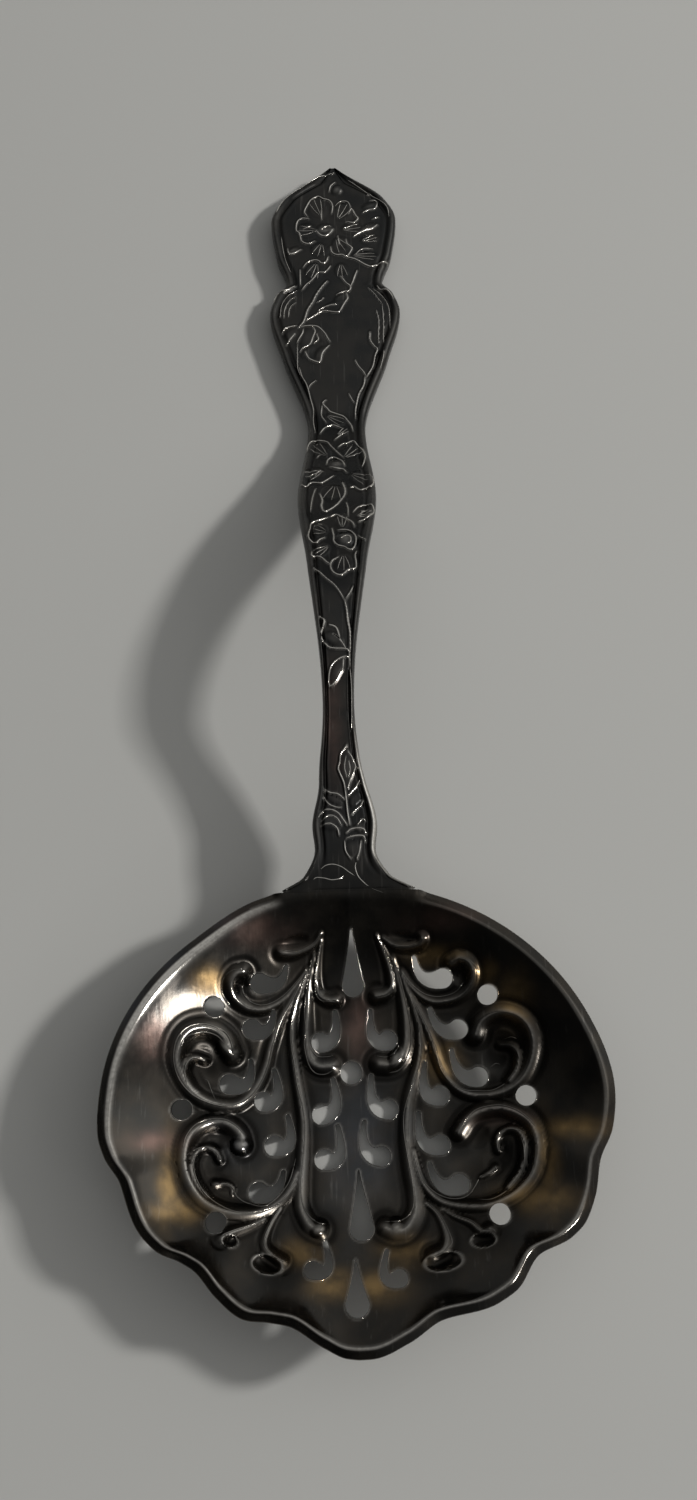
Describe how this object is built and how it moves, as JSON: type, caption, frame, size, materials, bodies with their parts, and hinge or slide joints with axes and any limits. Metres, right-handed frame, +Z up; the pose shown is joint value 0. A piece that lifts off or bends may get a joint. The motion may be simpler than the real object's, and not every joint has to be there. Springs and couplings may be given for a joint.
{
  "type": "pierced serving spoon",
  "caption": "Ornate silver sugar or bonbon spoon: round shallow bowl with a waved rim and pierced scrolls, arched waisted handle with a pointed end.",
  "frame": {"origin": "on the table surface, below the middle of the spoon's length and width", "axes": "+Y along the spoon to the tip of the handle, +Z up out of the bowl, +X to the right seen from above with the handle away"},
  "size_m": [0.0543, 0.1458, 0.0154],
  "materials": {
    "handle_silver": "silver, tarnished nearly black in the hollows, worn bright on the raised lines",
    "silver_solder": "silver solder, filed flush and tarnished dull grey",
    "bowl_silver": "silver, tarnished dark grey with brown and golden clouds, finely scratched"
  },
  "bodies": {
    "root": {"handle": "handle_silver", "solder_seam": "silver_solder", "bowl": "bowl_silver"}
  },
  "joints": []
}
